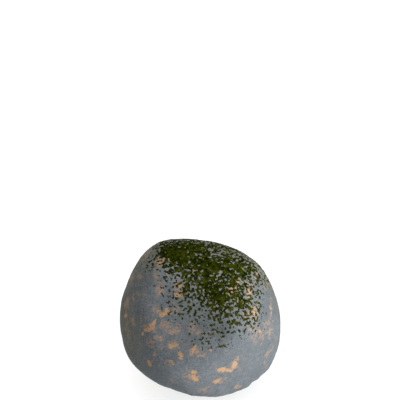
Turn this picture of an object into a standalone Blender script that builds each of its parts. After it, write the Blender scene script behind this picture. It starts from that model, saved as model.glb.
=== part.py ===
"""A mossy rock: one rounded cobble on a worn flat underside, and the low mat of moss on its top.

Run it in Blender 4.5. Sizes are in millimetres and become metres where a mesh is made. +Z is up, the
origin is on the ground under the middle of the stone, and the broad mossy face looks up and towards -Y.
"""

import math

import bmesh
import bpy
import numpy as np
from mathutils import Matrix, Vector, noise

MM = 0.001

# The face frame: right along +X, up the broad face, and straight out of it. The face leans back. Its
# origin is near the middle of the stone, set so that the stone's box is centred on the world's origin.
LEAN_DEG = 45.0
FACE_ORIGIN = (0.4, 1.35, 41.5)

# The stone seen square onto its broad face: clock angle from the right, anticlockwise, and radius.
OUTLINE = (
    (0, 49.1),
    (18, 48.3),
    (40, 49.1),
    (75, 47.9),
    (98, 49.6),
    (122, 53.9),
    (142, 51.9),
    (160, 50.1),
    (185, 50.2),
    (210, 50.5),
    (232, 48.1),
    (253, 46.8),
    (275, 48.2),
    (300, 50.6),
    (325, 51.8),
    (345, 50.4),
)
NEAR_DEPTH = 50.5
FAR_DEPTH = 49.0
FULLNESS = 2.3

# Broad worn flats: direction in the face frame, distance from its origin, and width of the soft edge.
# A direction that makes less than GRAZING with a flat's own counts as running along that flat.
GRAZING = 0.05
FLATS = (
    ((-0.12, 0.06, 0.99), 41.0, 6.0),
    ((0.14, 0.62, 0.77), 44.0, 11.0),
    ((-0.82, -0.20, 0.53), 48.9, 5.0),
    ((0.32, -0.66, 0.68), 46.2, 11.0),
    ((0.62, -0.50, 0.60), 46.7, 8.0),
    ((0.62, 0.34, 0.70), 47.6, 12.0),
    ((0.72, 0.30, -0.63), 45.5, 14.0),
    ((-0.10, 0.52, -0.85), 44.0, 14.0),
    ((-0.74, -0.12, -0.66), 45.5, 14.0),
)

# Swells and hollows: direction in the face frame, width across, and height, below zero for a hollow.
SWELLS = (
    ((0.16, -0.30, 0.94), 10.0, -0.5),
    ((-0.45, 0.30, 0.84), 16.0, -0.3),
    ((0.30, 0.78, -0.55), 20.0, 0.8),
    ((-0.55, 0.50, -0.67), 17.0, -0.9),
    ((0.78, -0.05, -0.62), 15.0, -0.7),
)

# The underside is worn soft to UNDERSIDE_DEPTH below the origin, then flat on the ground at z = 0.
UNDERSIDE_DEPTH = 42.6
UNDERSIDE_BLEND = 9.0

# Low waves all over, and a knocked, rougher foot near the ground, mostly on its right side.
WAVE_LENGTH = 17.0
WAVE_HEIGHT = 0.28
KNOCK_LENGTH = 6.5
KNOCK_HEIGHT = 0.75
KNOCK_TOP = 32.0
KNOCK_FULL = 18.0
KNOCK_LEFT_SHARE = 0.2
KNOCK_SIDES = (-20.0, 5.0)

# Mesh: each of the icosphere's 320 faces is cut into (STONE_CUTS + 1) squared.
BALL_SUBDIVISIONS = 3
STONE_CUTS = 4
SHORTEST_EDGE = 0.02
SHARP_DEG = 35.0

# The mat of moss: its middle, then clock angle about it and reach in degrees of the stone's round. The
# mat floats MOSS_GAP clear of the stone and thins to MOSS_RIM over the last MOSS_TAPER of its reach.
MOSS_MIDDLE = (0.16, 0.57, 0.81)
MOSS_REACH = (
    (0, 34),
    (20, 40),
    (42, 38),
    (66, 39),
    (90, 38),
    (110, 42),
    (128, 46),
    (144, 42),
    (156, 38),
    (168, 33),
    (190, 26),
    (216, 25),
    (242, 27),
    (264, 31),
    (286, 36),
    (308, 36),
    (330, 34),
)
MOSS_GAP = 0.4
MOSS_RIM = 0.35
MOSS_THICKNESS = 0.8
MOSS_TAPER = 0.25
MOSS_LUMP_LENGTH = 5.0
MOSS_LUMP_HEIGHT = 0.42
MOSS_RAGGED = 0.14
MOSS_LOBE_DEG = 17.0
MOSS_SPOKES = 60
MOSS_RINGS = 9

STONE_GREY = (0.235, 0.255, 0.275, 1.0)
STONE_ROUGHNESS = 0.8
MOSS_GREEN = (0.030, 0.038, 0.006, 1.0)
MOSS_ROUGHNESS = 0.95


def face_to_world():
    """Matrix from the face frame, in mm, to the world, in mm."""
    lean = math.radians(LEAN_DEG)
    right = Vector((1, 0, 0))
    up = Vector((0, math.sin(lean), math.cos(lean)))
    out = Vector((0, -math.cos(lean), math.sin(lean)))
    matrix = Matrix((right, up, out)).transposed().to_4x4()
    matrix.translation = Vector(FACE_ORIGIN)
    return matrix


def unit(rows):
    """Each row of an array scaled to length 1."""
    rows = np.asarray(rows, float)
    return rows / np.linalg.norm(rows, axis=-1, keepdims=True)


def closed_curve(degrees, knots):
    """Smooth closed curve through (angle, value) knots, read at each angle in degrees."""
    angle = np.array([knot[0] for knot in knots], float)
    value = np.array([knot[1] for knot in knots], float)
    angle = np.concatenate([angle - 360, angle, angle + 360])
    value = np.tile(value, 3)
    slope = np.gradient(value, angle)
    degrees = np.asarray(degrees, float) % 360
    left = np.searchsorted(angle, degrees, side="right") - 1
    span = angle[left + 1] - angle[left]
    t = (degrees - angle[left]) / span
    return (
        (1 + 2 * t) * (1 - t) ** 2 * value[left]
        + t * (1 - t) ** 2 * span * slope[left]
        + t**2 * (3 - 2 * t) * value[left + 1]
        - t**2 * (1 - t) * span * slope[left + 1]
    )


def soft_min(a, b, blend):
    """The smaller of a and b, rounded off where they are within blend of each other."""
    near = np.clip(1 - np.abs(a - b) / blend, 0, 1)
    return np.minimum(a, b) - near**2 * blend / 4


def soft_step(x, low, high):
    """0 below low, 1 above high, smooth between. It also runs downhill when low is above high."""
    t = np.clip((x - low) / (high - low), 0, 1)
    return t * t * (3 - 2 * t)


def wavy(points, length, seed):
    """Smooth noise from -1 to 1 at each point, with waves of about that length."""
    offset = Vector((seed * 7.3, seed * 3.1, seed * 5.7))
    return np.array([noise.noise(Vector(p) / length + offset) for p in points])


def smooth_radius(direction):
    """Radius of the stone along unit directions in the face frame, before its waves and knocks."""
    across = np.hypot(direction[:, 0], direction[:, 1])
    clock = np.degrees(np.arctan2(direction[:, 1], direction[:, 0]))
    depth = np.where(direction[:, 2] > 0, NEAR_DEPTH, FAR_DEPTH)
    wide = (across / closed_curve(clock, OUTLINE)) ** FULLNESS
    deep = (np.abs(direction[:, 2]) / depth) ** FULLNESS
    radius = (wide + deep) ** (-1 / FULLNESS)
    for normal, distance, blend in FLATS:
        slant = np.maximum(direction @ unit(normal), GRAZING)
        radius = soft_min(radius, distance / slant, blend)
    for middle, width, height in SWELLS:
        away = np.linalg.norm(direction - unit(middle), axis=1) * NEAR_DEPTH
        radius = radius + height * np.exp(-((away / (width / 2)) ** 2))
    down = np.array(face_to_world().to_3x3().transposed() @ Vector((0, 0, -1)))
    slant = np.maximum(direction @ down, GRAZING)
    return soft_min(radius, UNDERSIDE_DEPTH / slant, UNDERSIDE_BLEND)


def stone_points(direction, raised=0.0):
    """World points in mm on the stone's skin, or raised above it, along unit directions."""
    matrix = np.array(face_to_world())
    points = direction * smooth_radius(direction)[:, None]
    world = points @ matrix[:3, :3].T + matrix[:3, 3]
    near_ground = soft_step(world[:, 2], KNOCK_TOP, KNOCK_FULL)
    side_share = KNOCK_LEFT_SHARE + (1 - KNOCK_LEFT_SHARE) * soft_step(points[:, 0], *KNOCK_SIDES)
    lift = WAVE_HEIGHT * wavy(world, WAVE_LENGTH, seed=1)
    lift += KNOCK_HEIGHT * near_ground * side_share * wavy(world, KNOCK_LENGTH, seed=2)
    points += direction * (lift + raised)[:, None]
    return points @ matrix[:3, :3].T + matrix[:3, 3]


def make_material(name, colour, roughness):
    material = bpy.data.materials.new(name)
    material.use_nodes = True
    shader = material.node_tree.nodes["Principled BSDF"]
    shader.inputs["Base Color"].default_value = colour
    shader.inputs["Roughness"].default_value = roughness
    shader.inputs["Metallic"].default_value = 0.0
    material.diffuse_color = colour
    return material


def add_object(name, bm, material):
    """Adds the bmesh, which is in mm, as an object in metres with outward faces, shaded smooth."""
    bmesh.ops.scale(bm, vec=(MM, MM, MM), verts=bm.verts)
    bmesh.ops.recalc_face_normals(bm, faces=bm.faces)
    mesh = bpy.data.meshes.new(name)
    bm.to_mesh(mesh)
    bm.free()
    mesh.materials.append(material)
    mesh.shade_smooth()
    mesh.set_sharp_from_angle(angle=math.radians(SHARP_DEG))
    obj = bpy.data.objects.new(name, mesh)
    bpy.context.scene.collection.objects.link(obj)


def build_rock():
    """The cobble: a fine ball of triangles drawn out to the stone's form, cut flat at the ground."""
    bm = bmesh.new()
    bmesh.ops.create_icosphere(bm, subdivisions=BALL_SUBDIVISIONS, radius=1.0)
    bmesh.ops.subdivide_edges(bm, edges=bm.edges, cuts=STONE_CUTS, use_grid_fill=True)
    direction = unit([v.co for v in bm.verts])
    for vert, point in zip(bm.verts, stone_points(direction)):
        vert.co = point
    ground = bmesh.ops.bisect_plane(
        bm,
        geom=bm.verts[:] + bm.edges[:] + bm.faces[:],
        dist=1e-4,
        plane_co=(0, 0, 0),
        plane_no=(0, 0, -1),
        clear_outer=True,
    )
    rim = [e for e in ground["geom_cut"] if isinstance(e, bmesh.types.BMEdge)]
    bmesh.ops.contextual_create(bm, geom=rim)
    bmesh.ops.dissolve_degenerate(bm, dist=SHORTEST_EDGE, edges=bm.edges)
    bmesh.ops.triangulate(bm, faces=bm.faces)
    add_object("rock", bm, make_material("stone", STONE_GREY, STONE_ROUGHNESS))


def moss_layer(height_at):
    """Rings of points round the mat's middle, each raised by height_at(share of the way out, points)."""
    middle = unit(MOSS_MIDDLE)
    across = unit(np.cross((0, 1, 0), middle))
    upward = np.cross(middle, across)
    clock = np.arange(MOSS_SPOKES) * 360 / MOSS_SPOKES
    turn = np.radians(clock)
    side = np.outer(np.cos(turn), across) + np.outer(np.sin(turn), upward)
    lobes = wavy(side, math.radians(MOSS_LOBE_DEG), seed=4)
    reach = np.radians(closed_curve(clock, MOSS_REACH)) * (1 + MOSS_RAGGED * lobes)
    rings = []
    for ring in range(MOSS_RINGS + 1):
        share = ring / MOSS_RINGS
        polar = (share * reach)[:, None]
        direction = np.cos(polar) * middle + np.sin(polar) * side
        skin = stone_points(direction)
        rings.append(stone_points(direction, MOSS_GAP + height_at(share, skin)))
    return rings


def moss_top(share, skin):
    """Height of the mat's lumpy top above its underside."""
    lumps = MOSS_LUMP_HEIGHT * wavy(skin, MOSS_LUMP_LENGTH, seed=3)
    inside = soft_step(1 - share, 0.0, MOSS_TAPER)
    return MOSS_RIM + inside * (MOSS_THICKNESS - MOSS_RIM + lumps)


def add_cap(bm, rings):
    """Adds one domed layer, whose first ring is a single point, and returns its outer ring of vertices."""
    pole = bm.verts.new(rings[0][0])
    inner = [bm.verts.new(p) for p in rings[1]]
    for k in range(MOSS_SPOKES):
        bm.faces.new((pole, inner[k], inner[(k + 1) % MOSS_SPOKES]))
    for ring in rings[2:]:
        outer = [bm.verts.new(p) for p in ring]
        for k in range(MOSS_SPOKES):
            after = (k + 1) % MOSS_SPOKES
            bm.faces.new((inner[k], outer[k], outer[after], inner[after]))
        inner = outer
    return inner


def build_moss():
    """The mat of moss: a thin lumpy sheet that follows the stone, MOSS_GAP clear of it."""
    bm = bmesh.new()
    top_rim = add_cap(bm, moss_layer(moss_top))
    under_rim = add_cap(bm, moss_layer(lambda share, skin: 0.0))
    for k in range(MOSS_SPOKES):
        after = (k + 1) % MOSS_SPOKES
        bm.faces.new((top_rim[k], under_rim[k], under_rim[after], top_rim[after]))
    bmesh.ops.triangulate(bm, faces=bm.faces)
    add_object("moss", bm, make_material("moss", MOSS_GREEN, MOSS_ROUGHNESS))


def main():
    for obj in list(bpy.data.objects):
        bpy.data.objects.remove(obj)
    build_rock()
    build_moss()


main()
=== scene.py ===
"""The looks of the mossy rock: its fine stone skin, the worn tan patches and the loose crumbs of moss.

Blender 4.5. World units are metres, +Z up. Marks and moss are placed by pixels of the 400 by 400
photograph, sent out from the camera onto the stone, and are measured in millimetres from there on.
"""

import math

import bmesh
import bpy
import numpy as np
from mathutils import Matrix, Vector, noise
from mathutils.bvhtree import BVHTree


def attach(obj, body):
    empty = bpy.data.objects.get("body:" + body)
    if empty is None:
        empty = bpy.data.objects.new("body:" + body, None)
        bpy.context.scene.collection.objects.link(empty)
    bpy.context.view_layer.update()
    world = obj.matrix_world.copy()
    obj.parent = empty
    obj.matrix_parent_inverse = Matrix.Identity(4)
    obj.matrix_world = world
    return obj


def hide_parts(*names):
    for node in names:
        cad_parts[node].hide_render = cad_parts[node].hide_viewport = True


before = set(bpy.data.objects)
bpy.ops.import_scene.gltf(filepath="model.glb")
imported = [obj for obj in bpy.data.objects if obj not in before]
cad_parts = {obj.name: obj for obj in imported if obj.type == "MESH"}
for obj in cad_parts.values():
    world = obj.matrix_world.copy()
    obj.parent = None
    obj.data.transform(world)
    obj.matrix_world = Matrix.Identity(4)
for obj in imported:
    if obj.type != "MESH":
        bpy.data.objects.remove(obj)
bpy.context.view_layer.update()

MM = 0.001

# The camera: it looks down at the middle of the stone, which stands low in the frame.
LOOK_DOWN_DEG = 45.0
STONE_MIDDLE = Vector((0.4, 1.35, 41.5)) * MM
STONE_MIDDLE_PX = (200.7, 318.1)
STONE_RADIUS_PX = 80.0
CAMERA_DISTANCE = 0.593
NEAREST_SEEN = 0.01
LENS_MM = 85.0
SENSOR_MM = 36.0
FRAME_PX = 400.0

# Worn tan patches: middle and size in pixels, turn in degrees anticlockwise, and strength. Strong ones
# are solid colour, and weak ones only a dry smear.
TAN_PATCHES = (
    (158.5, 259.5, 4, 4, 0, 0.9),
    (159, 263.5, 7, 4.5, 0, 1.0),
    (165, 260.5, 4.5, 6.5, 0, 0.95),
    (176.5, 281, 4, 4, 0, 0.8),
    (178.5, 284.5, 6, 4, -20, 0.95),
    (177.5, 295, 6, 4, 0, 0.95),
    (182, 292, 4, 6, 0, 0.9),
    (182, 302, 3, 4, 0, 0.6),
    (194, 272, 4, 3, 0, 0.9),
    (197.5, 272, 3, 2, 0, 0.7),
    (163, 314.5, 9.5, 4.5, 15, 1.0),
    (166.5, 310.5, 5, 5.5, -30, 1.0),
    (169, 312.5, 5, 4, 0, 1.0),
    (154.5, 322.5, 3.5, 7.5, -25, 0.95),
    (152, 326, 6, 4.5, 20, 0.85),
    (150, 328, 9, 7, 20, 0.8),
    (158.5, 310.5, 5, 6, 0, 0.58),
    (146, 330, 5, 4, 20, 1.0),
    (143, 334, 3, 4, 0, 0.85),
    (126, 316, 4, 5, 0, 0.9),
    (133, 324, 3, 4, 0, 0.6),
    (144, 298.5, 2.5, 3, 0, 0.5),
    (161, 338, 3, 5, 0, 0.95),
    (171, 346, 6, 5.5, 0, 1.0),
    (173.5, 342, 6, 4, 20, 0.5),
    (176.5, 345.5, 7, 3, 10, 0.75),
    (180.7, 355.7, 5, 7.5, 8, 0.95),
    (170, 361, 6, 2.5, 0, 0.7),
    (172.5, 363, 5, 3, -35, 1.0),
    (149.5, 363.5, 3.5, 8, 25, 0.95),
    (193, 350, 4.2, 9, -25, 1.0),
    (191.5, 354.5, 7, 4, 0, 0.7),
    (199, 355.5, 7, 3, -15, 0.55),
    (210.5, 350.5, 3.5, 3.5, 0, 0.85),
    (194, 372.3, 6, 4, 10, 0.95),
    (193.3, 376, 4.6, 6, 0, 1.0),
    (195.5, 379.5, 6.5, 5, -20, 1.0),
    (222, 369.5, 9, 5, 5, 1.0),
    (228.5, 370, 8, 3.6, 0, 1.0),
    (216.5, 369, 3, 2, 0, 0.45),
    (235, 364, 6.5, 5.5, 40, 1.0),
    (233, 367, 6, 3.5, 30, 0.85),
    (236, 359.5, 3, 2.5, 0, 0.65),
    (217, 381.3, 9, 3.4, 14, 0.85),
    (224, 378.5, 6, 2.2, 20, 0.7),
    (237, 387.5, 8, 3.5, 18, 0.55),
    (214, 364, 2.5, 2.5, 0, 0.3),
    (260, 331.5, 3.5, 3.5, 0, 0.75),
    (256, 277, 2.2, 9, 0, 0.75),
    (266, 286, 4, 3, 0, 0.45),
    (249.5, 292, 5, 8, -15, 0.85),
    (248.5, 296.5, 3, 5, 0, 0.6),
    (253, 307.5, 3.5, 4, 0, 0.65),
    (255, 311.5, 4, 7, 25, 0.8),
    (258.5, 316.5, 2.5, 4, 40, 0.45),
    (271, 298.5, 3, 3, 0, 0.5),
    (270.5, 307, 2, 8, 0, 0.7),
    (271.5, 313, 2, 4, 0, 0.55),
    (272.5, 320.5, 2.5, 4, 0, 0.5),
    (237.5, 281.5, 7, 4, 0, 1.0),
    (242.5, 283, 3, 2, 0, 0.8),
    (233, 288, 7, 3.5, 0, 0.85),
    (214.5, 308, 3, 5, 0, 0.85),
    (216, 331, 2.5, 4, 0, 0.7),
    (214, 248, 5, 3, -20, 0.6),
)

# Faint brushed areas round them, in the same way.
TAN_HAZES = (
    (155.5, 275.5, 8, 9, 0, 1.0),
    (160, 288.5, 8, 16, 0, 1.0),
    (156, 310, 9, 12, 30, 1.0),
    (147, 313, 12, 5, 30, 0.6),
    (140, 319, 4, 7, 0, 0.6),
    (175.5, 308, 7, 11, 0, 0.8),
    (153, 328.5, 10, 11, 20, 1.0),
    (145, 326, 9, 4, 20, 0.6),
    (166, 324, 11, 9, 0, 1.0),
    (174, 330.5, 13, 10, -15, 0.95),
    (139, 295, 6, 6, 0, 0.9),
    (142, 293, 11, 5, 0, 0.5),
    (127, 304, 6, 14, -15, 0.85),
    (132, 319, 5, 7, 0, 0.8),
    (127, 332, 9, 26, 0, 0.4),
    (134, 346, 14, 24, -20, 0.2),
    (149, 313, 16, 20, 0, 0.5),
    (168, 327, 26, 18, 0, 0.45),
    (153, 342, 16, 14, 0, 0.55),
    (184, 340, 16, 12, 0, 0.3),
    (139, 277, 6, 9, 0, 0.6),
    (142, 257, 12, 4, 38, 0.6),
    (149, 250.5, 10, 4, 38, 0.5),
    (131, 279, 4, 14, -20, 0.7),
    (133, 299, 4, 14, 0, 0.6),
    (144, 263, 4, 9, -10, 0.6),
    (161.5, 343, 3.5, 9, 0, 0.9),
    (153, 337, 4, 4, 0, 0.5),
    (148, 344, 3, 4, 0, 0.6),
    (154, 347, 4, 8, 0, 0.5),
    (155, 354, 3, 6, 0, 0.9),
    (160, 348, 6, 5, 0, 0.5),
    (174, 345, 14, 9, 20, 0.7),
    (151, 361, 5, 7, 0, 0.45),
    (169, 363, 12, 6, -15, 0.7),
    (195, 352, 10, 11, 0, 0.9),
    (203, 352, 13, 9, -10, 0.7),
    (197, 330, 17, 15, 0, 0.8),
    (209, 334, 4, 5, 0, 0.5),
    (188, 378, 10, 10, 0, 1.0),
    (190, 375, 14, 14, 0, 0.4),
    (198, 379, 7, 8, 0, 0.5),
    (183, 374, 5, 5, 0, 0.4),
    (172, 381, 14, 6, -20, 0.4),
    (203, 391, 10, 7, 0, 0.8),
    (208, 387, 8, 4, 25, 0.6),
    (220, 381, 16, 7, 12, 0.6),
    (224, 369, 20, 9, 10, 0.6),
    (234, 365, 11, 10, 30, 0.6),
    (242, 368, 8, 7, 0, 0.75),
    (238.5, 357, 5, 9, 0, 0.75),
    (238, 387, 9, 5, 20, 0.5),
    (214, 364, 4, 4, 0, 0.4),
    (258, 337, 13, 17, 0, 0.6),
    (260.5, 337, 4.5, 15, 0, 1.0),
    (256, 339, 5, 12, 0, 0.85),
    (253, 325, 11, 15, 0, 0.75),
    (255, 311, 9, 15, -10, 0.8),
    (249.5, 289, 8, 15, 0, 0.9),
    (256, 276, 4.5, 11, 0, 0.5),
    (247, 314, 9, 11, 0, 0.9),
    (247, 283, 4, 5, 0, 0.8),
    (236, 299, 6, 7, 0, 1.0),
    (271, 308, 3.5, 26, 0, 0.5),
    (271, 332, 6, 15, 0, 0.65),
    (267, 323, 8, 6, 0, 0.7),
    (266, 330, 8, 10, 0, 0.4),
    (275, 338, 6, 7, 0, 0.6),
    (271.5, 348, 4, 9, -25, 0.85),
    (267.5, 354, 4, 8, -25, 0.75),
    (266, 364, 5, 9, -10, 0.65),
    (267, 286, 6, 9, -25, 0.35),
    (222, 337, 4, 4, 0, 0.6),
    (180, 290, 13, 20, -10, 0.85),
    (162, 262, 14, 11, 0, 0.7),
    (167, 274, 6, 6, 0, 0.5),
    (232, 291, 14, 14, 0, 0.8),
)

# The brown film on the rim, partly a stain and partly painted shade: its way from the stone's middle, as
# right, up and out of the photographed face, the cosines between which it fades in, and its strength.
FILM_AND_RIM_SHADE_SIDES = (
    ((-0.80, 0.60, 0.00), 0.62, 0.99, 1.0),
    ((-0.98, -0.10, 0.10), 0.66, 1.00, 0.95),
    ((-0.82, -0.57, 0.00), 0.84, 1.00, 0.9),
    ((-0.20, 0.98, 0.00), 0.90, 1.00, 1.0),
    ((0.30, 0.95, 0.00), 0.80, 0.98, 1.0),
    ((0.82, 0.57, 0.00), 0.82, 0.99, 1.0),
    ((1.00, 0.12, 0.00), 0.86, 1.00, 0.6),
)
# Painted shade that darkens the rim on the right and below it, in the same way.
PAINTED_RIM_SHADE_SIDES = (
    ((0.80, -0.60, 0.00), 0.90, 1.00, 1.0),
    ((0.50, -0.86, 0.00), 0.93, 1.00, 0.6),
    ((1.00, -0.06, 0.00), 0.72, 1.00, 1.0),
)

# How thickly the moss lies: middle and half sizes in pixels, and share of the stone hidden. Past the
# stone's edge the pixels count on round its back, so the last ones lie on the far side.
MOSS_DRIFTS = (
    (178, 255, 17, 10, 0.87),
    (164, 250, 7, 8, 0.50),
    (178, 266, 10, 7, 0.45),
    (203, 266, 17, 8, 0.78),
    (193, 248, 10, 8, 0.55),
    (228, 265, 20, 7, 0.74),
    (224, 258, 10, 4, 0.35),
    (226, 277, 9, 7, 0.35),
    (247, 263, 7, 7, 0.25),
    (255, 299, 6, 9, 0.30),
    (243, 272, 11, 7, 0.45),
    (213, 288, 12, 15, 0.72),
    (221, 304, 9, 12, 0.44),
    (236, 287, 12, 15, 0.61),
    (199, 280, 13, 13, 0.43),
    (184, 277, 12, 10, 0.32),
    (200, 298, 18, 12, 0.22),
    (167, 272, 10, 12, 0.16),
    (240, 303, 12, 9, 0.36),
    (224, 318, 14, 9.5, 0.32),
    (176, 289, 13, 18, 0.07),
    (190, 311, 20, 12, 0.17),
    (252, 312, 9, 15, 0.15),
    (241, 320, 15, 10, 0.19),
    (216, 336, 21, 11, 0.10),
    (256, 280, 10, 12, 0.24),
    (156, 264, 8, 8, 0.26),
    (200, 256, 8, 8, 0.42),
    (222, 249, 20, 7, 0.30),
    (240, 252, 12, 8, 0.25),
    (215, 233, 28, 12, 0.18),
    (182, 245, 15, 4.5, 0.42),
    (204, 251, 9, 6, 0.15),
    (211, 252, 8, 6, 0.28),
    (222, 220, 20, 10, 0.08),
)


def face_axes():
    """Right, up and out, towards the camera, of the face that the camera sees square on."""
    lean = math.radians(LOOK_DOWN_DEG)
    right = Vector((1, 0, 0))
    up = Vector((0, math.sin(lean), math.cos(lean)))
    out = Vector((0, -math.cos(lean), math.sin(lean)))
    return right, up, out


def focal_px():
    """The lens's focal length, in pixels of the frame."""
    return FRAME_PX * LENS_MM / SENSOR_MM


def add_camera():
    """The camera, moved aside and turned up so that the stone's middle falls on its pixel."""
    drop = math.atan((STONE_MIDDLE_PX[1] - FRAME_PX / 2) / focal_px())
    aside = (STONE_MIDDLE_PX[0] - FRAME_PX / 2) * CAMERA_DISTANCE / focal_px()
    right, _, out = face_axes()
    data = bpy.data.cameras.new("camera")
    data.lens = LENS_MM
    data.sensor_width = SENSOR_MM
    data.clip_start = NEAREST_SEEN
    camera = bpy.data.objects.new("camera", data)
    camera.location = STONE_MIDDLE + out * CAMERA_DISTANCE - right * aside
    camera.rotation_euler = (math.pi / 2 - math.radians(LOOK_DOWN_DEG) + drop, 0, 0)
    bpy.context.scene.collection.objects.link(camera)
    bpy.context.scene.camera = camera
    bpy.context.view_layer.update()
    return camera


def to_pixels(camera, points):
    """Pixels of the photograph for an array of world points."""
    inverse = np.array(camera.matrix_world.inverted())
    seen = points @ inverse[:3, :3].T + inverse[:3, 3]
    half = FRAME_PX / 2
    x = half + focal_px() * seen[:, 0] / -seen[:, 2]
    y = half - focal_px() * seen[:, 1] / -seen[:, 2]
    return np.stack([x, y], 1)


def pixel_ray(camera, x, y):
    """Where a pixel's line of sight starts, and its direction."""
    half = FRAME_PX / 2
    local = Vector(((x - half) / focal_px(), (half - y) / focal_px(), -1))
    return camera.location, (camera.matrix_world.to_3x3() @ local).normalized()


def facing(camera, points, normals):
    """Cosine of the angle between each point's normal and its way to the camera."""
    to_camera = np.array(camera.location) - points
    to_camera /= np.linalg.norm(to_camera, axis=1, keepdims=True)
    return (normals * to_camera).sum(1)


def soft_step(x, low, high):
    """0 below low, 1 above high, smooth between. It also runs downhill when low is above high."""
    t = np.clip((x - low) / (high - low), 0, 1)
    return t * t * (3 - 2 * t)


# How far each seed moves its noise, and the axis about which it turns it.
SEED_STEP = (7.3, 3.1, 5.7)
TURN_AXIS = (1, 2, 3)


def wavy(points, length, seed):
    """Smooth noise from -1 to 1 at each point, with waves of about that length.

    The points are turned first, each seed its own way, so that no waves line up with the axes.
    """
    offset = Vector([seed * step for step in SEED_STEP])
    turn = np.array(Matrix.Rotation(seed, 3, Vector(TURN_AXIS)))
    return np.array([noise.noise(Vector(p) + offset) for p in points @ turn / length])


def vertex_array(mesh):
    """The places of a mesh's vertices, one row each."""
    points = np.empty(len(mesh.vertices) * 3)
    mesh.vertices.foreach_get("co", points)
    return points.reshape(-1, 3)


def normal_array(mesh):
    """The normals of a mesh's vertices, one row each."""
    normals = np.empty(len(mesh.vertices) * 3)
    mesh.vertices.foreach_get("normal", normals)
    return normals.reshape(-1, 3)


def add_point_value(mesh, name, values):
    """Stores one number at each vertex, for the material to read by that name."""
    attribute = mesh.attributes.new(name, "FLOAT", "POINT")
    attribute.data.foreach_set("value", np.asarray(values, np.float32))


# The stone's skin

# Vertices nearer than this many metres are one, and each face is halved this many times.
WELD_DISTANCE = 2e-6
SKIN_LEVELS = 2
# Relief of the skin: wave length and height in mm.
RELIEF = (
    (9.0, 0.16),
    (4.2, 0.10),
    (2.0, 0.055),
    (1.1, 0.035),
)
RELIEF_SEED = 11
# The chipped foot: wave length and height in mm, and the heights and the distances to the right, in mm,
# between which the chips fade in.
CHIPS = (
    (5.2, 0.50),
    (2.6, 0.22),
)
CHIP_SEED = 31
CHIP_HEIGHTS = (36.0, 20.0)
CHIP_SIDES = (-8.0, 14.0)
# The relief fades out over this height in mm above the ground, which leaves the flat foot as it is.
FOOT_CLEAR = 0.8
# Knocks and swells on the edge that the camera sees: place and reach in pixels, and height in mm. They
# fade where the stone turns towards or away from the camera, by this cosine.
EDGE_FORMS = (
    (143, 256, 11, 0.5),
    (165, 242, 5, -0.3),
    (201, 241, 7, -0.4),
    (249, 256.5, 5, -0.4),
    (271.5, 285, 7, 0.25),
    (279, 343.5, 5, 0.3),
    (274, 356, 13, 0.42),
    (267, 371, 4, 0.25),
    (261, 376, 3, -0.25),
    (253.3, 381.6, 3.2, -0.45),
    (246, 387.5, 4, 0.5),
    (242, 390, 3, 0.25),
    (237, 391.5, 4, -0.2),
    (205.5, 397, 4.5, -0.45),
    (192, 396, 3.5, 0.5),
    (170.5, 389, 5, -0.3),
    (141, 372, 7, -0.25),
    (123, 339, 6, -0.3),
    (123.5, 297.5, 9, 0.42),
)
EDGE_BAND = 0.2


def edge_lift(camera, points, normals):
    """Height in mm that the knocks and swells of the seen edge add at each point."""
    on_edge = np.exp(-((facing(camera, points, normals) / EDGE_BAND) ** 2))
    pixels = to_pixels(camera, points)
    lift = np.zeros(len(points))
    for x, y, reach, height in EDGE_FORMS:
        away = ((pixels - (x, y)) ** 2).sum(1) / reach**2
        lift += height * np.exp(-away)
    return lift * on_edge


def finer_copy(name, source):
    """A welded and smoothly subdivided copy of an object's mesh, as an object of its own."""
    bm = bmesh.new()
    bm.from_mesh(source.data)
    bmesh.ops.remove_doubles(bm, verts=bm.verts, dist=WELD_DISTANCE)
    coarse = bpy.data.meshes.new("coarse_skin")
    bm.to_mesh(coarse)
    bm.free()
    copy = bpy.data.objects.new(name, coarse)
    bpy.context.scene.collection.objects.link(copy)
    finer = copy.modifiers.new("finer", "SUBSURF")
    finer.levels = SKIN_LEVELS
    finer.render_levels = SKIN_LEVELS
    graph = bpy.context.evaluated_depsgraph_get()
    copy.data = bpy.data.meshes.new_from_object(copy.evaluated_get(graph))
    copy.modifiers.clear()
    bpy.data.meshes.remove(coarse)
    return copy


def build_skin(rock, camera):
    """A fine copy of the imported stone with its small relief, which stands in for the plain one."""
    skin = finer_copy("stone_skin", rock)
    mesh = skin.data
    points = vertex_array(mesh)
    normals = normal_array(mesh)
    mm = points / MM
    lift = np.zeros(len(points))
    for seed, (length, height) in enumerate(RELIEF, RELIEF_SEED):
        lift += height * wavy(mm, length, seed)
    near_foot = soft_step(mm[:, 2], *CHIP_HEIGHTS) * soft_step(mm[:, 0], *CHIP_SIDES)
    for seed, (length, height) in enumerate(CHIPS, CHIP_SEED):
        lift += near_foot * height * wavy(mm, length, seed)
    lift += edge_lift(camera, points, normals)
    lift *= soft_step(mm[:, 2], 0.0, FOOT_CLEAR)
    points += normals * (lift * MM)[:, None]
    mesh.vertices.foreach_set("co", points.ravel())
    mesh.update()
    mesh.shade_smooth()
    return skin


# Tan patches

# Patch outlines wander in and out by this share, in waves of this many mm, and patches and brushed areas
# fade over this many mm.
EDGE_WAVE = 0.4
EDGE_WAVE_LENGTH = 1.9
EDGE_WAVE_SEED = 61
PATCH_FADE = 1.6
HAZE_FADE = 2.4
# No patch reaches further from its middle than this many times its longer half axis.
PATCH_REACH = 1.5

# On the sides that the photograph doesn't show, patches are scattered from where the stone has turned
# away from the camera by this cosine. Their length in mm and their width as a share of it vary.
HIDDEN_PATCHES = 150
HIDDEN_SEED = 7
HIDDEN_TURN = -0.14
HIDDEN_SIZE_MM = (2.0, 8.0)
HIDDEN_SHAPE = (0.45, 1.0)
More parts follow.
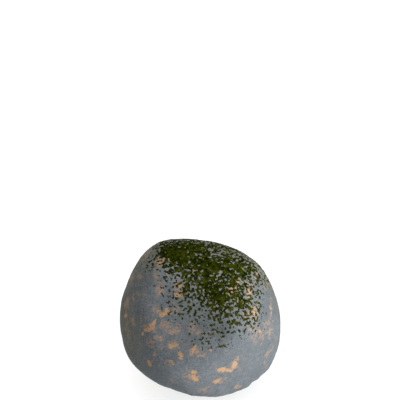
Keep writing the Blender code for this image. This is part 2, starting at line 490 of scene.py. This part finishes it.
# Each has a brushed area, this much larger, and those past a share of their own are tan inside. The
# strengths are the least, and what the patch's own share adds.
HIDDEN_HAZE_SIZE = 1.6
HIDDEN_HAZE_STRENGTH = (0.5, 0.4)
HIDDEN_TAN_FROM = 0.35
HIDDEN_TAN_STRENGTH = (0.55, 0.45)


def hit_or_none(tree, camera, x, y):
    """Where a pixel's line of sight meets the stone, if it does."""
    place, _, _, _ = tree.ray_cast(*pixel_ray(camera, x, y))
    return place


def patch_frame(tree, camera, x, y, width, height, turn_deg):
    """Middle of a patch on the stone, and its two half axes, found by sending its pixels out."""
    turn = math.radians(turn_deg)
    along = (math.cos(turn), -math.sin(turn))
    across = (math.sin(turn), math.cos(turn))
    middle = hit_or_none(tree, camera, x, y)
    if middle is None:
        return None
    halves = []
    for way, size in ((along, width), (across, height)):
        ends = [hit_or_none(tree, camera, x + s * way[0], y + s * way[1]) for s in (-1, 1)]
        ends = [middle if e is None else e for e in ends]
        pixels_apart = 1 if middle in ends else 2
        halves.append((ends[1] - ends[0]) / pixels_apart * size / 2)
    return middle, halves[0], halves[1]


def seen_patches(tree, camera, rows):
    """Middle, two half axes and strength of each patch that the photograph shows."""
    patches = []
    for *place, strength in rows:
        found = patch_frame(tree, camera, *place)
        if found:
            patches.append((*found, strength))
    return patches


def hidden_patches(skin, camera):
    """The same for patches scattered over the other sides, with a random share as their strength."""
    rng = np.random.default_rng(HIDDEN_SEED)
    points = vertex_array(skin.data)
    normals = normal_array(skin.data)
    hidden = np.flatnonzero(facing(camera, points, normals) < HIDDEN_TURN)
    patches = []
    for k in rng.choice(hidden, HIDDEN_PATCHES, replace=False):
        normal = Vector(normals[k])
        side = normal.orthogonal().normalized()
        side.rotate(Matrix.Rotation(rng.uniform(0, 2 * math.pi), 3, normal))
        low, high = HIDDEN_SIZE_MM
        size = low + (high - low) * rng.random() ** 2
        shape = rng.uniform(*HIDDEN_SHAPE)
        half = size * MM / 2
        patches.append((Vector(points[k]), side * half, normal.cross(side) * half * shape, rng.random()))
    return patches


def coverage(points, patches, ragged, fade):
    """For each point the strongest mark there: full well inside, half at its edge, none outside."""
    most = np.zeros(len(points))
    for middle, first, second, strength in patches:
        reach = PATCH_REACH * max(first.length, second.length) + fade
        away = points - np.array(middle)
        near = np.flatnonzero((away**2).sum(1) < reach**2)
        if not len(near):
            continue
        normal = first.cross(second).normalized() * (first.length + second.length) / 2
        basis = np.array(Matrix((first, second, normal)).transposed().inverted())
        local = away[near] @ basis.T
        across = np.sqrt((local**2).sum(1)) * (1 + EDGE_WAVE * ragged[near])
        inside = (1 - across) * min(first.length, second.length)
        most[near] = np.maximum(most[near], strength * np.clip(0.5 + inside / fade, 0, 1))
    return most


def side_share(points, sides):
    """How strongly each point lies on one of the given sides."""
    from_middle = points - np.array(STONE_MIDDLE)
    from_middle /= np.linalg.norm(from_middle, axis=1, keepdims=True)
    most = np.zeros(len(points))
    for way, low, high, strength in sides:
        side = sum((axis * part for axis, part in zip(face_axes(), way)), Vector()).normalized()
        most = np.maximum(most, strength * soft_step(from_middle @ np.array(side), low, high))
    return most


def mark_skin(skin, camera):
    """Stores per point the tan, the brush marks, the film, the painted rim shade and the painted light
    under moss.
    """
    mesh = skin.data
    bm = bmesh.new()
    bm.from_mesh(mesh)
    tree = BVHTree.FromBMesh(bm)
    bm.free()
    patches = seen_patches(tree, camera, TAN_PATCHES)
    hazes = seen_patches(tree, camera, TAN_HAZES)
    for middle, first, second, share in hidden_patches(skin, camera):
        least, more = HIDDEN_HAZE_STRENGTH
        wide, high = first * HIDDEN_HAZE_SIZE, second * HIDDEN_HAZE_SIZE
        hazes.append((middle, wide, high, least + more * share))
        if share > HIDDEN_TAN_FROM:
            least, more = HIDDEN_TAN_STRENGTH
            patches.append((middle, first, second, least + more * share))
    points = vertex_array(mesh)
    ragged = wavy(points / MM, EDGE_WAVE_LENGTH, EDGE_WAVE_SEED)
    add_point_value(mesh, "tan", coverage(points, patches, ragged, PATCH_FADE * MM))
    add_point_value(mesh, "haze", coverage(points, hazes, ragged, HAZE_FADE * MM))
    # Brown film on the rim: partly a stain, partly painted shade.
    add_point_value(mesh, "film_and_rim_shade", side_share(points, FILM_AND_RIM_SHADE_SIDES))
    # Darker rim at the right and below: painted shade.
    add_point_value(mesh, "painted_rim_shade", side_share(points, PAINTED_RIM_SHADE_SIDES))
    # Lighter stone under the moss: painted light that makes up for the crumbs' shade.
    add_point_value(mesh, "under_moss_painted_light", moss_share(round_pixels(camera, points)))


# Moss

MOSS_SEED = 21
MOSS_TRIES = 400000
LEAST_SHARE = 0.004
# A drift's share falls off by exp(-FALL * away ** (2 * POWER)), where its half sizes are 1 away.
DRIFT_POWER = 1.5
DRIFT_FALL = 0.7
# Moss fills the low parts of a fine pattern of waves: lengths in mm and heights. The powers, for thin
# and for full cover, raise the share filled, to make up for the chinks that stay between the bits.
FLECKS = (
    (2.1, 0.3),
    (1.45, 1.0),
    (0.8, 0.28),
)
FLECK_SEED = 51
THIN_POWER = 0.92
FULL_POWER = 0.76
# Tan patches stay this much barer.
TAN_BARE = 0.45
# Moss past this share is the thick piece.
THICK_SHARE = 0.6
# Each bit is a small flat lump, with corners jittered by a share of its radius. Sizes are in mm. Where
# moss is thick the bits are larger, and some pile up.
BIT_GAP = 0.36
BIT_RADIUS = (0.28, 0.44)
BIT_STRETCH = (1.12, 0.92, 0.45)
BIT_JITTER = 0.32
BIT_LIFT = (-0.10, 0.04)
THICK_GROWTH = 0.18
THICK_PILE = 0.12
# A bit's tone is shared out between its clump and itself, in clumps of this many mm.
TONE_LENGTH = 2.4
TONE_SEED = 71
CLUMP_TONE = 0.7
OWN_TONE = 0.3
TONE_JITTER = 0.12
# It darkens upwards, by this much per mm from this height: painted shade, the top lit less than the
# face.
PAINTED_SHADE_FALL = 0.008
PAINTED_SHADE_HEIGHT = 76.0


def round_pixels(camera, points):
    """Pixels for points on the stone, counted on past its edge round its back."""
    right, up, out = (np.array(axis) for axis in face_axes())
    flat = to_pixels(camera, points) - np.array(STONE_MIDDLE_PX)
    from_middle = points - np.array(STONE_MIDDLE)
    from_middle /= np.linalg.norm(from_middle, axis=1, keepdims=True)
    polar = np.arccos(np.clip(from_middle @ out, -1, 1))
    behind = np.clip(polar - math.pi / 2, 0, None)
    across = np.stack([from_middle @ right, -(from_middle @ up)], 1)
    across /= np.maximum(np.linalg.norm(across, axis=1, keepdims=True), 1e-9)
    round_edge = across * (STONE_RADIUS_PX * (1 + behind))[:, None]
    pixels = np.where(behind[:, None] > 0, round_edge, flat)
    return pixels + np.array(STONE_MIDDLE_PX)


def moss_share(pixels):
    """Share of the stone that moss hides at each pixel."""
    bare = np.ones(len(pixels))
    for x, y, half_width, half_height, share in MOSS_DRIFTS:
        away = ((pixels[:, 0] - x) / half_width) ** 2 + ((pixels[:, 1] - y) / half_height) ** 2
        bare *= 1 - share * np.exp(-(away**DRIFT_POWER) * DRIFT_FALL)
    return 1 - bare


def surface_samples(mesh, value_name, count, rng):
    """Random points spread evenly over a mesh, and the normals and one stored value there."""
    mesh.calc_loop_triangles()
    corners = np.empty(len(mesh.loop_triangles) * 3, int)
    mesh.loop_triangles.foreach_get("vertices", corners)
    corners = corners.reshape(-1, 3)
    points = vertex_array(mesh)
    normals = normal_array(mesh)
    values = np.empty(len(mesh.vertices), np.float32)
    mesh.attributes[value_name].data.foreach_get("value", values)
    a, b, c = (points[corners[:, k]] for k in range(3))
    area = np.linalg.norm(np.cross(b - a, c - a), axis=1)
    face = rng.choice(len(corners), count, p=area / area.sum())
    u = np.sqrt(rng.random(count))
    v = rng.random(count)
    weight = np.stack([1 - u, u * (1 - v), u * v], 1)
    place = (points[corners[face]] * weight[:, :, None]).sum(1)
    normal = (normals[corners[face]] * weight[:, :, None]).sum(1)
    normal /= np.linalg.norm(normal, axis=1, keepdims=True)
    return place, normal, (values[corners[face]] * weight).sum(1)


def spread_out(points, gap):
    """Indices of the points that stay clear of every earlier kept point by the gap."""
    kept = np.empty_like(points)
    chosen = []
    for k, point in enumerate(points):
        away = kept[: len(chosen)] - point
        if not len(chosen) or (away * away).sum(1).min() > gap * gap:
            kept[len(chosen)] = point
            chosen.append(k)
    return np.array(chosen)


def rank(values):
    """The place of each value in their order, from 0 to 1."""
    order = np.empty(len(values))
    order[np.argsort(values)] = np.arange(len(values))
    return order / len(values)


def bit_shapes(rng, count):
    """Small angular lumps: jittered icosahedra of about unit radius."""
    bm = bmesh.new()
    bmesh.ops.create_icosphere(bm, subdivisions=1, radius=1.0)
    ball = np.array([v.co for v in bm.verts])
    faces = np.array([[v.index for v in f.verts] for f in bm.faces])
    bm.free()
    shapes = ball[None] * (1 + rng.uniform(-BIT_JITTER, BIT_JITTER, (count, len(ball), 1)))
    return shapes, faces


def lay_bits(place, normal, share, rng):
    """The middle, two axes, radius and tone of a bit of moss at each place."""
    clump = rank(wavy(place / MM, TONE_LENGTH, TONE_SEED))
    bits = []
    for p, n, thick, shade in zip(place, normal, share, clump):
        up = Vector(n)
        way = up.orthogonal().normalized()
        way.rotate(Matrix.Rotation(rng.uniform(0, 2 * math.pi), 3, up))
        height = rng.uniform(*BIT_LIFT) + rng.uniform(0.0, THICK_PILE) * thick**2
        radius = rng.uniform(*BIT_RADIUS) + THICK_GROWTH * thick
        # The last term darkens the moss the higher it lies: painted shade.
        tone = CLUMP_TONE * shade + OWN_TONE * rng.random() + PAINTED_SHADE_FALL * (PAINTED_SHADE_HEIGHT - p[2] / MM)
        bits.append((Vector(p) + up * height * MM, up, way, radius, tone))
    return bits


def build_crumbs(name, bits, rng):
    """One joined mesh of moss bits, each a flattened angular lump lying on the stone."""
    shapes, faces = bit_shapes(rng, len(bits))
    per_bit = shapes.shape[1]
    points = np.empty((len(bits), per_bit, 3))
    tones = np.empty((len(bits), per_bit))
    for k, (middle, up, way, radius, tone) in enumerate(bits):
        side = up.cross(way)
        stretch = np.array(BIT_STRETCH) * radius * MM
        axes = np.array([way, side, up])
        points[k] = (shapes[k] * stretch) @ axes + np.array(middle)
        tones[k] = np.clip(tone + rng.uniform(-TONE_JITTER, TONE_JITTER), 0, 1)
    faces = (faces[None] + np.arange(len(bits))[:, None, None] * per_bit).reshape(-1, 3)
    mesh = bpy.data.meshes.new(name)
    mesh.from_pydata(points.reshape(-1, 3).tolist(), [], faces.tolist())
    add_point_value(mesh, "tone", tones.ravel())
    mesh.validate()
    mesh.shade_smooth()
    crumbs = bpy.data.objects.new(name, mesh)
    bpy.context.scene.collection.objects.link(crumbs)
    return crumbs


def build_moss(skin, camera):
    """The crumbs of moss: thick over the top, thinning down the face, in two joined meshes."""
    rng = np.random.default_rng(MOSS_SEED)
    place, normal, tan = surface_samples(skin.data, "tan", MOSS_TRIES, rng)
    share = moss_share(round_pixels(camera, place)) * (1 - TAN_BARE * tan)
    mossy = share > LEAST_SHARE
    place, normal, share = place[mossy], normal[mossy], share[mossy]
    waves = np.zeros(len(place))
    for seed, (length, height) in enumerate(FLECKS, FLECK_SEED):
        waves += height * wavy(place / MM, length, seed)
    power = THIN_POWER + (FULL_POWER - THIN_POWER) * share
    grown = np.flatnonzero(rank(waves) < share**power)
    kept = grown[spread_out(place[grown] / MM, BIT_GAP)]
    place, normal, share = place[kept], normal[kept], share[kept]
    pieces = []
    for name, chosen in (("moss_thick", share > THICK_SHARE), ("moss_thin", share <= THICK_SHARE)):
        bits = lay_bits(place[chosen], normal[chosen], share[chosen], rng)
        pieces.append(build_crumbs(name, bits, rng))
    return pieces


# Materials

def add_node(nodes, kind, **settings):
    """A new node with the given settings."""
    node = nodes.new(kind)
    for key, value in settings.items():
        setattr(node, key, value)
    return node


class Paint:
    """A material with one principled shader, and short ways to add the nodes that feed it."""

    def __init__(self, name, roughness, gloss):
        """An empty material of that roughness and gloss."""
        self.material = bpy.data.materials.new(name)
        self.material.use_nodes = True
        self.nodes = self.material.node_tree.nodes
        self.links = self.material.node_tree.links
        self.nodes.clear()
        output = add_node(self.nodes, "ShaderNodeOutputMaterial")
        self.shader = add_node(self.nodes, "ShaderNodeBsdfPrincipled")
        self.shader.inputs["Roughness"].default_value = roughness
        self.shader.inputs["Specular IOR Level"].default_value = gloss
        self.links.new(self.shader.outputs[0], output.inputs["Surface"])

    def feed(self, socket, value):
        """Gives a socket a plain value, or links it to another node's output."""
        if isinstance(value, (int, float, tuple)):
            socket.default_value = value
        else:
            self.links.new(value, socket)

    def place(self):
        """The place of each point on the stone, in metres."""
        return add_node(self.nodes, "ShaderNodeTexCoord").outputs["Object"]

    def attribute(self, name):
        """A value that is stored at the mesh's vertices."""
        return add_node(self.nodes, "ShaderNodeAttribute", attribute_name=name).outputs["Fac"]

    def noise(self, place, scale, detail, rough=0.5, distortion=0.0):
        """Noise from 0 to 1, of which the scale is in waves per metre."""
        node = add_node(self.nodes, "ShaderNodeTexNoise")
        node.inputs["Scale"].default_value = scale
        node.inputs["Detail"].default_value = detail
        node.inputs["Roughness"].default_value = rough
        node.inputs["Distortion"].default_value = distortion
        self.links.new(place, node.inputs["Vector"])
        return node.outputs["Fac"]

    def remap(self, value, low, high, to_low=0.0, to_high=1.0):
        """The value's way from low to high, as its way between two others, and no further."""
        node = add_node(self.nodes, "ShaderNodeMapRange")
        node.inputs["From Min"].default_value = low
        node.inputs["From Max"].default_value = high
        node.inputs["To Min"].default_value = to_low
        node.inputs["To Max"].default_value = to_high
        self.links.new(value, node.inputs["Value"])
        return node.outputs["Result"]

    def math(self, operation, a, b):
        """Two values added, subtracted or multiplied."""
        node = add_node(self.nodes, "ShaderNodeMath", operation=operation)
        self.feed(node.inputs[0], a)
        self.feed(node.inputs[1], b)
        return node.outputs[0]

    def spread(self, noise_value, reach):
        """One plus the noise's distance from its middle, times a reach."""
        away = self.math("SUBTRACT", noise_value, 0.5)
        return self.math("ADD", self.math("MULTIPLY", away, reach), 1.0)

    def mix(self, factor, a, b, blend="MIX"):
        """Colour b over colour a, by a factor."""
        node = add_node(self.nodes, "ShaderNodeMix", data_type="RGBA", blend_type=blend)
        self.feed(node.inputs[0], factor)
        self.feed(node.inputs[6], a)
        self.feed(node.inputs[7], b)
        return node.outputs[2]

    def bump(self, height, strength, depth, under=None):
        """The normal of a surface with fine relief, on top of another such relief if one is given."""
        node = add_node(self.nodes, "ShaderNodeBump")
        node.inputs["Strength"].default_value = strength
        node.inputs["Distance"].default_value = depth
        self.links.new(height, node.inputs["Height"])
        if under:
            self.links.new(under, node.inputs["Normal"])
        return node.outputs[0]


# Noises are given as waves per metre, detail and, where they aren't plain, roughness and distortion.

STONE_ROUGHNESS = 0.82
STONE_GLOSS = 0.25
# How far from the middle, in metres, the stone's ends count in full, and its grain's strength left and
# right.
STONE_END = 0.03
GRAIN_REACH = (2.1, 1.0)
GRAIN = (1250, 3.0, 0.7)
# Its grey: broad clouds from dark to light, and mottles that darken and lighten it a little.
DARK_GREY = (0.222, 0.254, 0.280, 1)
LIGHT_GREY = (0.272, 0.302, 0.325, 1)
CLOUDS = (70, 5.0, 0.62)
CLOUD_EDGES = (0.32, 0.68)
MOTTLES = (430, 2.0)
MOTTLE_EDGES = (0.30, 0.70)
MOTTLE_TONES = (0.90, 1.10)
# How the grey is tinted: lighter under moss, which is painted light, and darker at the rim, where the
# brown film is partly a stain and partly painted shade, and the dusky rim is painted shade.
TINTS = (
    ("under_moss_painted_light", (1.58, 1.44, 1.18, 1)),
    ("film_and_rim_shade", (0.95, 0.86, 0.68, 1)),
    ("painted_rim_shade", (0.84, 0.85, 0.86, 1)),
)

# The tan was rubbed on in strokes: their lean from upright in degrees, and how much longer than wide.
BRUSH_LEAN_DEG = 40.0
BRUSH_STRETCH = 2.4
# Solid patches are frayed by strokes and by dots, each with its reach, and then cut off sharply.
FRAY_STROKES = (520, 4.0, 0.7)
FRAY_STROKES_REACH = 4.0
FRAY_DOTS = (1100, 2.0)
FRAY_DOTS_REACH = 3.0
FRAY_EDGES = (0.40, 0.60)
TAN_RIM = (0.62, 0.43, 0.29, 1)
TAN_LEFT = (0.86, 0.475, 0.215, 1)
TAN_RIGHT = (0.82, 0.525, 0.325, 1)
# The stored tan between which a patch goes from its rim's colour to its own.
TAN_EDGES = (0.3, 1.0)
# Brushed areas are a dry smear, broken by strokes, by blotches and by the marks of single bristles.
SMEAR_COLOUR = (0.68, 0.46, 0.32, 1)
SMEAR_STROKES = (640, 4.0, 0.7, 0.4)
SMEAR_STROKES_REACH = 6.5
SMEAR_BLOTCHES = (210, 2.0)
SMEAR_BLOTCHES_REACH = 4.0
SMEAR_BRISTLES = (1500, 3.0, 0.7)
SMEAR_BRISTLES_REACH = 4.6
SMEAR_EDGES = (0.25, 1.3)
SMEAR_MOST = 0.70

# Relief too fine for the mesh: noise, strength and depth in metres.
FINE_PITS = (2600, 3.0, 0.6)
FINE_PITS_STRENGTH = 0.25
FINE_PITS_DEPTH = 0.00012
BROAD_PITS = (700, 3.0, 0.6)
BROAD_PITS_STRENGTH = 0.36
BROAD_PITS_DEPTH = 0.00025


def stone_grey(paint, place, rightward):
    """The bare stone: clouded, speckled blue-grey, with painted light under moss and film and painted
    shade on its rim.
    """
    cloud = paint.remap(paint.noise(place, *CLOUDS), *CLOUD_EDGES)
    grey = paint.mix(cloud, DARK_GREY, LIGHT_GREY)
    grain = paint.spread(paint.noise(place, *GRAIN), paint.remap(rightward, 0.0, 1.0, *GRAIN_REACH))
    grey = paint.mix(1.0, grey, grain, "MULTIPLY")
    mottle = paint.remap(paint.noise(place, *MOTTLES), *MOTTLE_EDGES, *MOTTLE_TONES)
    grey = paint.mix(1.0, grey, mottle, "MULTIPLY")
    # Painted light under moss, and the film and painted shade on the rim.
    for name, tint in TINTS:
        grey = paint.mix(paint.attribute(name), grey, paint.mix(1.0, grey, tint, "MULTIPLY"))
    return grey


def add_tan(paint, colour, place, rightward):
    """The dry smears and, over them, the solid tan patches."""
    brushed = add_node(paint.nodes, "ShaderNodeMapping", vector_type="TEXTURE")
    brushed.inputs["Rotation"].default_value = (0, math.radians(BRUSH_LEAN_DEG), 0)
    brushed.inputs["Scale"].default_value = (1, 1, BRUSH_STRETCH)
    paint.links.new(place, brushed.inputs["Vector"])
    along = brushed.outputs["Vector"]

    strokes = paint.spread(paint.noise(along, *SMEAR_STROKES), SMEAR_STROKES_REACH)
    blotches = paint.spread(paint.noise(place, *SMEAR_BLOTCHES), SMEAR_BLOTCHES_REACH)
    bristles = paint.spread(paint.noise(along, *SMEAR_BRISTLES), SMEAR_BRISTLES_REACH)
    streaks = paint.math("MULTIPLY", paint.math("MULTIPLY", strokes, blotches), bristles)
    smear = paint.math("MULTIPLY", paint.attribute("haze"), streaks)
    colour = paint.mix(paint.remap(smear, *SMEAR_EDGES, 0.0, SMEAR_MOST), colour, SMEAR_COLOUR)

    strokes = paint.spread(paint.noise(along, *FRAY_STROKES), FRAY_STROKES_REACH)
    dots = paint.spread(paint.noise(place, *FRAY_DOTS), FRAY_DOTS_REACH)
    frayed = paint.math("MULTIPLY", strokes, dots)
    solid = paint.remap(paint.math("MULTIPLY", paint.attribute("tan"), frayed), *FRAY_EDGES)
    core = paint.mix(rightward, TAN_LEFT, TAN_RIGHT)
    tan = paint.mix(paint.remap(paint.attribute("tan"), *TAN_EDGES), TAN_RIM, core)
    return paint.mix(solid, colour, tan)


def stone_material():
    """The stone's paint. Its left end in the photograph has rougher grain, and its right paler tan."""
    paint = Paint("stone_paint", STONE_ROUGHNESS, STONE_GLOSS)
    place = paint.place()
    axes = add_node(paint.nodes, "ShaderNodeSeparateXYZ")
    paint.links.new(place, axes.inputs[0])
    rightward = paint.remap(axes.outputs[0], -STONE_END, STONE_END)
    colour = add_tan(paint, stone_grey(paint, place, rightward), place, rightward)
    paint.links.new(colour, paint.shader.inputs["Base Color"])
    fine = paint.bump(paint.noise(place, *FINE_PITS), FINE_PITS_STRENGTH, FINE_PITS_DEPTH)
    broad = paint.bump(paint.noise(place, *BROAD_PITS), BROAD_PITS_STRENGTH, BROAD_PITS_DEPTH, fine)
    paint.links.new(broad, paint.shader.inputs["Normal"])
    return paint.material


# The moss's greens from its darkest tone, 0, to its lightest, 1, and the tone of the middle one.
DARK_GREEN = (0.009, 0.016, 0.0001, 1)
MIDDLE_GREEN = (0.048, 0.065, 0.0008, 1)
MIDDLE_TONE = 0.55
LIGHT_GREEN = (0.110, 0.118, 0.008, 1)
MOSS_PITS = (3200, 2.0)
MOSS_PITS_STRENGTH = 0.6
MOSS_PITS_DEPTH = 0.0002


def moss_material():
    """The moss's paint: dull olive greens by each bit's tone, with a crumbly surface."""
    paint = Paint("moss_green", 1.0, 0.0)
    ramp = add_node(paint.nodes, "ShaderNodeValToRGB")
    stops = ramp.color_ramp.elements
    stops[0].position = 0.0
    stops[0].color = DARK_GREEN
    stops[1].position = 1.0
    stops[1].color = LIGHT_GREEN
    stops.new(MIDDLE_TONE).color = MIDDLE_GREEN
    paint.links.new(paint.attribute("tone"), ramp.inputs["Fac"])
    paint.links.new(ramp.outputs["Color"], paint.shader.inputs["Base Color"])
    pits = paint.bump(paint.noise(paint.place(), *MOSS_PITS), MOSS_PITS_STRENGTH, MOSS_PITS_DEPTH)
    paint.links.new(pits, paint.shader.inputs["Normal"])
    return paint.material


# Floor, lights and world. The way to each light is in world axes.

FLOOR_HALF_WIDTH = 3.0
FLOOR_TONE = (0.9, 0.9, 0.9, 1)
KEY_DIRECTION = (0.90, -0.43, 0.05)
KEY_POWER = 20.0
TOP_DIRECTION = (0.2, 0.6, 0.775)
TOP_POWER = 5.0
LIGHT_DISTANCE = 1.5
LIGHT_SIZE = 1.0
FLOOR_SUN = 3.2
FLOOR_SUN_ANGLE_DEG = 100.0
AMBIENT = 0.29
BACKDROP = 1.0


def add_floor():
    """A plain pale floor, which throws no light or shadow back onto the stone."""
    mesh = bpy.data.meshes.new("floor")
    bm = bmesh.new()
    bmesh.ops.create_grid(bm, x_segments=1, y_segments=1, size=FLOOR_HALF_WIDTH)
    bm.to_mesh(mesh)
    bm.free()
    floor = bpy.data.objects.new("floor", mesh)
    bpy.context.scene.collection.objects.link(floor)
    paint = Paint("floor_white", 1.0, 0.0)
    paint.shader.inputs["Base Color"].default_value = FLOOR_TONE
    mesh.materials.append(paint.material)
    floor.visible_diffuse = False
    floor.visible_shadow = False
    return floor


def link_light(light, name, objects):
    """The light falls on these objects alone."""
    group = bpy.data.collections.new(name)
    for obj in objects:
        group.objects.link(obj)
    light.light_linking.receiver_collection = group


def add_area_light(name, direction, power, pieces):
    """A soft square light that shines on the given pieces from one direction."""
    data = bpy.data.lights.new(name, "AREA")
    data.size = LIGHT_SIZE
    data.energy = power
    light = bpy.data.objects.new(name, data)
    way = Vector(direction).normalized()
    light.location = STONE_MIDDLE + way * LIGHT_DISTANCE
    light.rotation_euler = (-way).to_track_quat("-Z", "Y").to_euler()
    bpy.context.scene.collection.objects.link(light)
    link_light(light, "lit_by_" + name, pieces)


def add_lights(floor, pieces):
    """For the stone a key light from the right and a weak one from above, for the floor a wide sun."""
    add_area_light("key", KEY_DIRECTION, KEY_POWER, pieces)
    add_area_light("top", TOP_DIRECTION, TOP_POWER, pieces)
    sun_data = bpy.data.lights.new("floor_sun", "SUN")
    sun_data.energy = FLOOR_SUN
    sun_data.angle = math.radians(FLOOR_SUN_ANGLE_DEG)
    sun = bpy.data.objects.new("floor_sun", sun_data)
    bpy.context.scene.collection.objects.link(sun)
    link_light(sun, "lit_by_floor_sun", [floor])
    sun.light_linking.blocker_collection = sun.light_linking.receiver_collection


def add_world():
    """Weak even light from all round, behind which the camera sees a pale backdrop."""
    world = bpy.data.worlds.new("studio")
    world.use_nodes = True
    nodes, links = world.node_tree.nodes, world.node_tree.links
    nodes.clear()
    background = add_node(nodes, "ShaderNodeBackground")
    background.inputs["Color"].default_value = (1, 1, 1, 1)
    seen = add_node(nodes, "ShaderNodeLightPath").outputs["Is Camera Ray"]
    level = add_node(nodes, "ShaderNodeMapRange")
    level.inputs["To Min"].default_value = AMBIENT
    level.inputs["To Max"].default_value = BACKDROP
    links.new(seen, level.inputs["Value"])
    links.new(level.outputs["Result"], background.inputs["Strength"])
    output = add_node(nodes, "ShaderNodeOutputWorld")
    links.new(background.outputs[0], output.inputs["Surface"])
    bpy.context.scene.world = world


def main():
    bpy.context.scene.view_settings.view_transform = "Standard"
    camera = add_camera()
    skin = build_skin(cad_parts["rock"], camera)
    mark_skin(skin, camera)
    skin.data.materials.clear()
    skin.data.materials.append(stone_material())
    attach(skin, "root")
    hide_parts("rock")

    green = moss_material()
    crumbs = build_moss(skin, camera)
    for piece in crumbs:
        piece.data.materials.append(green)
        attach(piece, "root")
        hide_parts("moss")

    floor = add_floor()
    add_lights(floor, [skin, *crumbs])
    add_world()


main()
